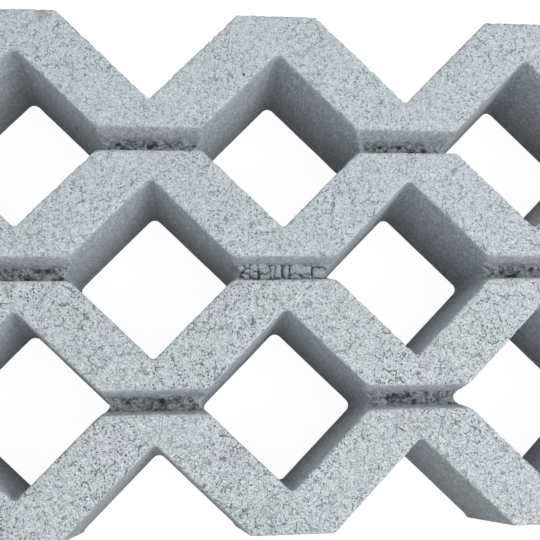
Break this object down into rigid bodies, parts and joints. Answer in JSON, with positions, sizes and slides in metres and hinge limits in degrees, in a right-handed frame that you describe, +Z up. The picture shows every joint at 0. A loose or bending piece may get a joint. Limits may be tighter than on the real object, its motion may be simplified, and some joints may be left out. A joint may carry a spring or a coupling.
{
  "type": "grass paver",
  "caption": "Flat cast concrete lattice block with square planting cells set on their corners, grooved webs and half cells round its edge.",
  "frame": {"origin": "centre of the footprint, on the underside", "axes": "+X along the block's length and its grooves, +Y across the rows of cells, +Z up through the wearing face"},
  "size_m": [0.6, 0.4, 0.08],
  "materials": {
    "concrete": "rough dry-cast"
  },
  "bodies": {
    "root": {"paver_block": "concrete"}
  },
  "joints": []
}
